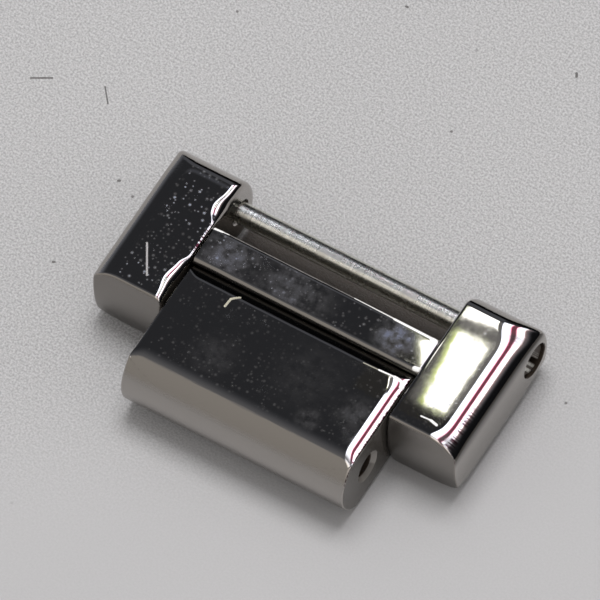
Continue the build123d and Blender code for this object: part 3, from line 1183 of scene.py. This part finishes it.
def make_surroundings():
    """The room as the polish shows it, told by the slope that mirrors each direction to the camera.

    A surface whose outward direction is halfway between the camera and a part of the room shows
    that part. Across is how far that halfway direction leans to +X and along how far it leans to +Y.
    """
    studio = bpy.context.scene.link_studio
    world = bpy.data.worlds.new("room")
    world.use_nodes = True
    tree = world.node_tree
    tree.nodes.clear()
    direction = shader_node(tree, "ShaderNodeTexCoord", {}, "Generated")
    both_ways = {0: direction, 1: tuple(VIEW_DIRECTION)}
    summed = shader_node(tree, "ShaderNodeVectorMath", both_ways, operation="ADD")
    halfway = shader_node(tree, "ShaderNodeVectorMath", {0: summed}, operation="NORMALIZE")
    across, along, _ = separated(tree, halfway)
    mirrored = shader_node(tree, "ShaderNodeLightPath", {}, "Is Glossy Ray")
    once = mirrored.other("Glossy Depth").fall(1.4, 1.6)

    # two window panes to the right, whose crossbar shows as a dark red line, then a dim wall
    panes = across.band(0.075, 0.095, 0.242, 0.262) + across.band(0.335, 0.35, 0.47, 0.50)
    crossbar = across.band(0.21, 0.25, 0.34, 0.37)
    wall = across.band(0.45, 0.50, 0.47, 0.62)
    upper = along.rise(-0.30, -0.04) * (along - across * 0.25).fall(0.03, 0.11)
    lower = along.band(-0.80, 0.05, -0.34, -0.26) * 0.9
    reach = upper.either(lower) * once
    # behind, a pale line and then dark; to the left and in front, pale walls low down
    behind = along.rise(0.27, 0.35)
    ledge = along.band(0.04, 0.10, 0.27, 0.35) * across.fall(0.05, 0.09)
    left = (0.0 - across).rise(0.42, 0.68)
    front = (0.0 - along).rise(0.04, 0.36) * 0.4 + (0.0 - along).rise(0.33, 0.40) * 0.6
    front = front * across.fall(0.40, 0.52)
    corner = across.rise(0.50, 0.65)

    level = 0.041 + ledge * 0.08 + left * 0.36 + front * 0.36 + wall * reach * 0.5
    level = level * (1.0 - behind * 0.93) * (1.0 - corner * 0.75) * (once * 0.85 + 0.15)
    level = level + panes * reach * studio.window_level + crossbar * reach * 0.30
    level = level * mirrored + (1.0 - mirrored) * studio.ambient
    tint = blend_colour(tree, front, (0.90, 0.96, 1.12), (1.0, 0.95, 0.89))
    tint = blend_colour(tree, wall * reach, tint, (1.0, 0.72, 0.72))
    tint = blend_colour(tree, crossbar * reach, tint, (1.0, 0.32, 0.48))
    tint = blend_colour(tree, mirrored, (1.0, 0.995, 0.98), tint)
    colour = shader_node(tree, "ShaderNodeVectorMath", {0: tint, "Scale": level}, operation="SCALE")
    shine = shader_node(tree, "ShaderNodeBackground", {"Color": colour, "Strength": 1.0})
    shader_node(tree, "ShaderNodeOutputWorld", {"Surface": shine})
    bpy.context.scene.world = world


def make_reflector():
    """A small bright card high behind the link, which its right half shows as a white patch.

    Its own X and Y are those of the point on top of the link that mirrors it to the camera.
    """
    (low_x, low_y), (high_x, high_y) = CARD_LOW, CARD_HIGH
    corners = [(low_x, low_y, 0), (high_x, low_y, 0), (high_x, high_y, 0), (low_x, high_y, 0)]
    mesh = bpy.data.meshes.new("reflector")
    mesh.from_pydata([Vector(corner) * MM for corner in corners], [], [(3, 2, 1, 0)])
    card = new_object("reflector", mesh)
    mirror = Vector((-VIEW_DIRECTION[0], -VIEW_DIRECTION[1], VIEW_DIRECTION[2]))
    card.location = (mirror * CARD_DISTANCE + Vector((0, 0, THICKNESS))) * MM
    spread = 1 + CARD_DISTANCE / (CAMERA_DISTANCE / MM)
    card.scale = (spread, spread, 1)
    card.visible_camera = False
    card.visible_diffuse = False
    card.visible_shadow = False

    material, tree = new_tree("reflector_glow")
    place, (x, y, _) = object_places(tree)
    streaks = noise(tree, stretched(tree, place, (24.0, 3.5, 1.0)), 1.0, 3.0, 0.7) - 0.5
    waver = noise(tree, place, 1.6) - 0.5
    rough_x = x + streaks * 0.22 + waver * 0.08
    rough_y = y + streaks * 0.9 + waver * 0.08
    # a white patch with a yellow-green fringe, and grey streaks round it
    slant = rough_x + y * 0.13
    core = slant.rise(6.09, 6.19) * rough_x.fall(7.20, 7.26) * rough_y.band(-0.62, -0.45, 2.88, 3.02)
    fringe = slant.rise(5.84, 6.08) * rough_x.fall(7.20, 7.28) * rough_y.band(-0.75, -0.5, 2.9, 3.1)
    grey = x.rise(5.35, 5.8) * y.rise(-0.9, -0.3) * (0.14 + streaks.rise(-0.1, 0.25) * 0.38)
    # a white band behind it, with a dark line along it
    slope_y = rough_y - x * 0.15
    behind = slope_y.rise(2.72, 2.82) * x.band(5.38, 5.5, 7.4, 7.6)
    behind = behind * (1.0 - slope_y.band(3.02, 3.07, 3.10, 3.15) * 0.9)
    # a slanted patch on the end of the bar
    tail_x = x + (y - 1.89) * 0.70 + waver * 0.1
    tail_y = y - (x - 4.56) * 0.80 + waver * 0.1
    on_bar = x.fall(5.3, 5.4)
    tail = tail_x.rise(4.50, 4.62) * tail_y.fall(1.86, 1.96) * on_bar * y.rise(0.8, 0.95)
    tail_fringe = (tail_x + waver * 0.2).rise(4.2, 4.5) * on_bar * y.rise(0.5, 0.8)
    white = most([core, behind, tail])
    halo = fringe.either(tail_fringe * 0.4)
    level = white * 4.0 + (1.0 - white) * (halo * 1.1 + grey) + 0.043
    colour = blend_colour(tree, white, (0.80, 1.0, 0.25), (1.0, 1.0, 1.0))
    colour = blend_colour(tree, (1.0 - white) * (1.0 - halo), colour, (1.0, 1.0, 1.0))
    colour = shader_node(tree, "ShaderNodeVectorMath", {0: colour, "Scale": level}, operation="SCALE")
    glow = shader_node(tree, "ShaderNodeEmission", {"Color": colour, "Strength": 1.0})
    shader_node(tree, "ShaderNodeOutputMaterial", {"Surface": glow})
    dress(card, material)


def floor_material():
    """A pale, finely grained table top with a few dark specks and fibres, and painted shade in the recess under the
    screw.
    """
    pale = tuple(bpy.context.scene.link_studio.floor)
    material, tree = new_tree("table_top")
    place, (x, y, _) = object_places(tree)
    near = (y * 0.8 - x * 0.6).rise(-7.0, 3.0, 0.12, 1.0)
    grain = noise(tree, place, 11.0, 3.0, 0.6)
    soft = noise(tree, place, 0.06)
    tone = (grain.rise(0.3, 0.7) - 0.5) * near * 0.62 + (soft - 0.5) * 0.08
    darker = tuple(part * 0.6 for part in pale)
    lighter = tuple(min(1, part * 1.4) for part in pale)
    base = blend_colour(tree, tone + 0.5, darker, lighter)
    distance, pick, _ = specks(tree, place, 0.2)
    speck = distance.fall(0.006, 0.018) * pick.rise(0.5, 0.9)
    base = blend_colour(tree, speck * 0.7, base, NEAR_BLACK)
    for start, end, width in TABLE_FIBRES:
        base = blend_colour(tree, line_mark(x, y, start, end, width) * 0.75, base, NEAR_BLACK)
    # painted deep shade on the table inside the recess that the screw crosses
    shade = x.size().rise(5.5, 5.1) * y.rise(2.2, 2.6) * y.rise(4.9, 4.5)
    base = blend_colour(tree, shade * 0.93, base, RECESS_SHADE)
    values = {"Base Color": base, "Roughness": 0.55, "Specular IOR Level": 0.25}
    return add_surface(material, tree, values, ((grain * near, GRAIN_DEPTH),))


def make_floor():
    """A wide flat floor under the link."""
    reach = FLOOR_REACH
    corners = [(-reach, -reach, 0), (reach, -reach, 0), (reach, reach, 0), (-reach, reach, 0)]
    mesh = bpy.data.meshes.new("floor")
    mesh.from_pydata(corners, [], [(0, 1, 2, 3)])
    floor = new_object("floor", mesh)
    dress(floor, floor_material())


def make_camera():
    """The photograph's view: a long lens, 0.8 m from the link, turned a little."""
    back = VIEW_DIRECTION
    level = Vector((math.cos(CAMERA_AZIMUTH), math.sin(CAMERA_AZIMUTH), 0))
    upright = back.cross(level)
    right = level * math.cos(CAMERA_ROLL) + upright * math.sin(CAMERA_ROLL)
    up = upright * math.cos(CAMERA_ROLL) - level * math.sin(CAMERA_ROLL)
    aim = Vector((0, 0, MIDDLE_Z * MM)) + right * AIM_RIGHT + up * AIM_UP
    data = bpy.data.cameras.new("camera")
    data.sensor_width = 36
    data.lens = PIXELS_A_METRE * CAMERA_DISTANCE * data.sensor_width / PICTURE_PIXELS
    data.clip_start = 0.05
    data.clip_end = 10
    camera = new_object("camera", data)
    turn = Matrix((right, up, back)).transposed().to_4x4()
    camera.matrix_world = Matrix.Translation(aim + back * CAMERA_DISTANCE) @ turn
    bpy.context.scene.camera = camera


# Operators


def stand_for(piece, node, body):
    """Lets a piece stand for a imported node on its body."""
    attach(piece, body)
    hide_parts(node)


def polished_piece(shell, node, body):
    """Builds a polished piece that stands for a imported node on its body."""
    piece = shell.build(node + "_polished")
    stand_for(piece, node, body)
    dress(piece, polished_steel(node + "_steel", **LOOKS[node]))


class LINK_OT_studio(bpy.types.Operator):
    """Adds the floor, lamp, surroundings and camera"""

    bl_idname = "bracelet_link.studio"
    bl_label = "Studio"

    def execute(self, context):
        make_surroundings()
        make_reflector()
        make_floor()
        make_lamp()
        make_camera()
        context.scene.view_settings.view_transform = "Standard"
        return {"FINISHED"}


class LINK_OT_outer_links(bpy.types.Operator):
    """Builds the two polished outer links"""

    bl_idname = "bracelet_link.outer_links"
    bl_label = "Outer Links"

    def execute(self, context):
        for side, node in ((-1, "left_outer_link"), (1, "right_outer_link")):
            polished_piece(outer_link(side), node, OUTER_FRAME)
        return {"FINISHED"}


class LINK_OT_centre_link(bpy.types.Operator):
    """Builds the swinging centre link"""

    bl_idname = "bracelet_link.centre_link"
    bl_label = "Centre Link"

    def execute(self, context):
        polished_piece(centre_link(), "centre_link", "centre_link")
        return {"FINISHED"}


class LINK_OT_bridge(bpy.types.Operator):
    """Builds the bridge bar and finishes its dowels and the pivot pin"""

    bl_idname = "bracelet_link.bridge"
    bl_label = "Bridge Bar"

    def execute(self, context):
        polished_piece(bridge_bar(), "bridge_bar", OUTER_FRAME)
        pins = turned_steel("pin_steel")
        for node in ("bridge_dowels", "pivot_pin"):
            dress(frame["nodes"][node], pins)
        return {"FINISHED"}


class LINK_OT_screw(bpy.types.Operator):
    """Builds the slotted link screw"""

    bl_idname = "bracelet_link.screw"
    bl_label = "Link Screw"

    def execute(self, context):
        piece = screw_surface().build("link_screw_turned", SCREW_SHARP_DEGREES)
        cut_slot(piece)
        stand_for(piece, "link_screw", "link_screw")
        dress(piece, turned_steel("screw_steel"))
        return {"FINISHED"}


class LINK_PT_panel(bpy.types.Panel):
    """Lists the bracelet link's settings and pieces"""

    bl_idname = "LINK_PT_panel"
    bl_label = "Bracelet Link"
    bl_space_type = "VIEW_3D"
    bl_region_type = "UI"
    bl_category = "Bracelet Link"

    def draw(self, context):
        layout = self.layout
        for setting in SETTINGS:
            group = getattr(context.scene, setting)
            box = layout.box()
            for name in group.__annotations__:
                box.prop(group, name)
        for operator in OPERATORS:
            layout.operator(operator.bl_idname)


SETTINGS = {
    "link_shape": LinkShapeSettings,
    "link_screw": ScrewSettings,
    "link_finish": FinishSettings,
    "link_studio": StudioSettings,
}
OPERATORS = (LINK_OT_studio, LINK_OT_outer_links, LINK_OT_centre_link, LINK_OT_bridge, LINK_OT_screw)


def register():
    for group in SETTINGS.values():
        bpy.utils.register_class(group)
    for name, group in SETTINGS.items():
        setattr(bpy.types.Scene, name, bpy.props.PointerProperty(type=group))
    for operator in OPERATORS:
        bpy.utils.register_class(operator)
    bpy.utils.register_class(LINK_PT_panel)


def unregister():
    bpy.utils.unregister_class(LINK_PT_panel)
    for operator in reversed(OPERATORS):
        bpy.utils.unregister_class(operator)
    for name in SETTINGS:
        delattr(bpy.types.Scene, name)
    for group in reversed(list(SETTINGS.values())):
        bpy.utils.unregister_class(group)


def main():
    """Builds everything."""
    register()
    bpy.ops.bracelet_link.studio()
    bpy.ops.bracelet_link.outer_links()
    bpy.ops.bracelet_link.centre_link()
    bpy.ops.bracelet_link.bridge()
    bpy.ops.bracelet_link.screw()


if __name__ == "__main__":
    main()
